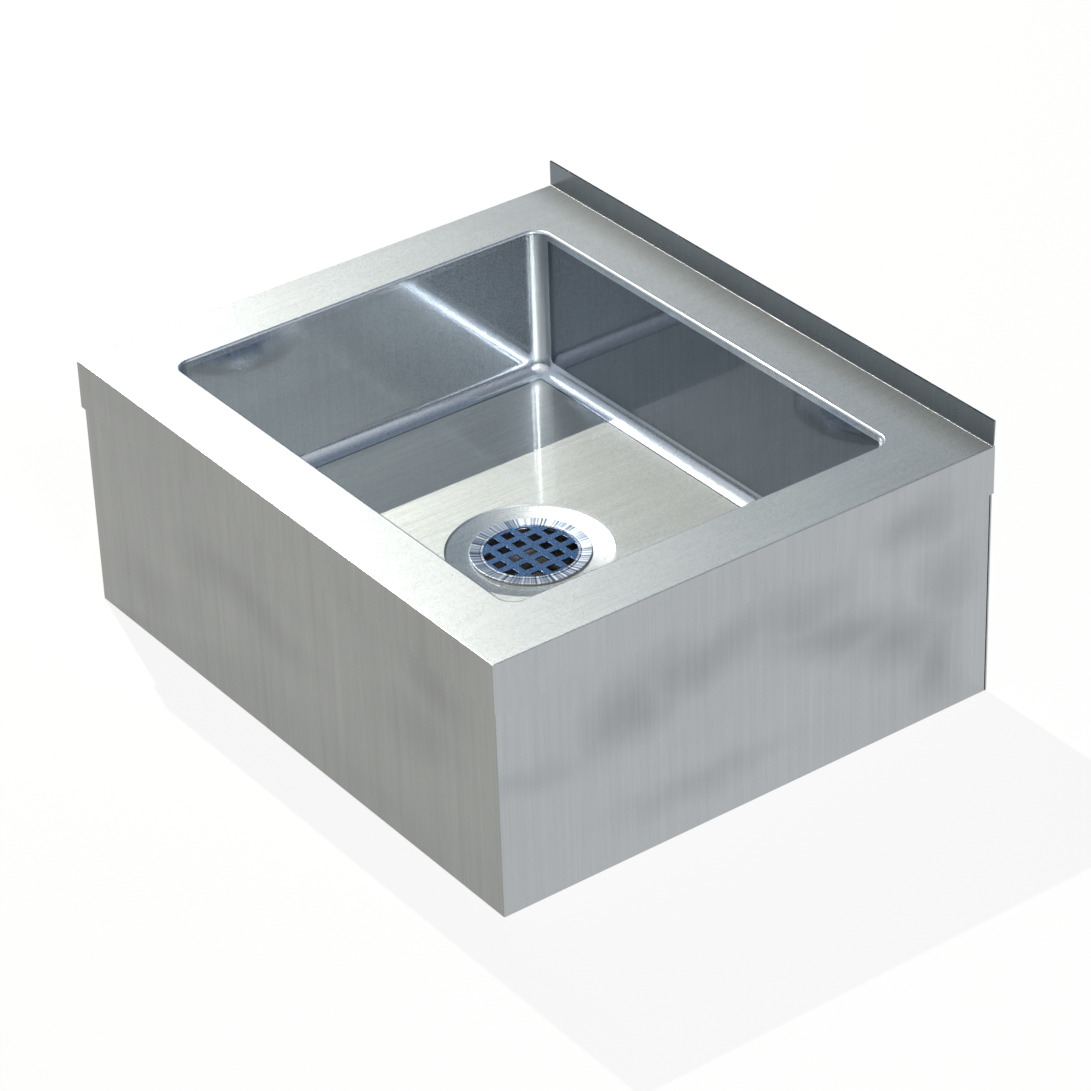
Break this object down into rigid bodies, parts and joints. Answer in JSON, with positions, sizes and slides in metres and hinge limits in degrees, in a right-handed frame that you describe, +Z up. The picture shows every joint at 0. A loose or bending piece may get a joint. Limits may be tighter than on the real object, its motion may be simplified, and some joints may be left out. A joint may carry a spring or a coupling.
{
  "type": "mop service sink",
  "caption": "Floor-standing stainless mop service sink: coved bowl in a rimmed deck with rear upstand, full skirt, and a flanged drain with a lift-out strainer plate.",
  "frame": {"origin": "on the floor, at the centre of the footprint", "axes": "+X along the width, to the right for someone facing the sink; +Y to the rear, towards the wall; +Z up"},
  "size_m": [0.635, 0.5334, 0.2794],
  "materials": {
    "brushed_sheet": "brushed stainless sheet, grain running up the sides and across the deck",
    "polished_bowl": "polished stainless, nearly a mirror on the walls and coves",
    "mill_sheet": "dull mill-finish stainless",
    "damping_pad": "matte sound-deadening pad",
    "strainer_plate": "bright plate with a blue cast",
    "drain_chrome": "bright turned chrome, streaked from the centre outwards",
    "putty": "dull plumber's putty",
    "black_rubber": "matte rubber",
    "fibre": "pressed fibre",
    "brass_nut": "cast, as machined",
    "nylon": "natural nylon"
  },
  "bodies": {
    "sink": {"deck": "brushed_sheet", "bowl": "polished_bowl", "skirt_wrap": "brushed_sheet", "skirt_rear": "brushed_sheet", "support_channel_left": "mill_sheet", "support_channel_right": "mill_sheet", "channel_bracket_front_left": "mill_sheet", "channel_bracket_front_right": "mill_sheet", "channel_bracket_rear_left": "mill_sheet", "channel_bracket_rear_right": "mill_sheet", "anchor_gusset_front_left": "mill_sheet", "anchor_gusset_front_right": "mill_sheet", "anchor_gusset_rear_left": "mill_sheet", "anchor_gusset_rear_right": "mill_sheet", "sound_pad_front": "damping_pad", "sound_pad_rear": "damping_pad", "strainer_body": "drain_chrome", "putty_ring": "putty", "rubber_gasket": "black_rubber", "friction_ring": "fibre", "lock_nut": "brass_nut", "tailpiece_washer": "nylon", "tailpiece": "drain_chrome", "coupling_nut": "brass_nut"},
    "plate": {"strainer_plate": "strainer_plate"}
  },
  "joints": [
    {"name": "plate_lift", "type": "slide", "parent": "sink", "child": "plate", "axis": [0, 0, 1], "range_m": [0, 0.2]}
  ]
}
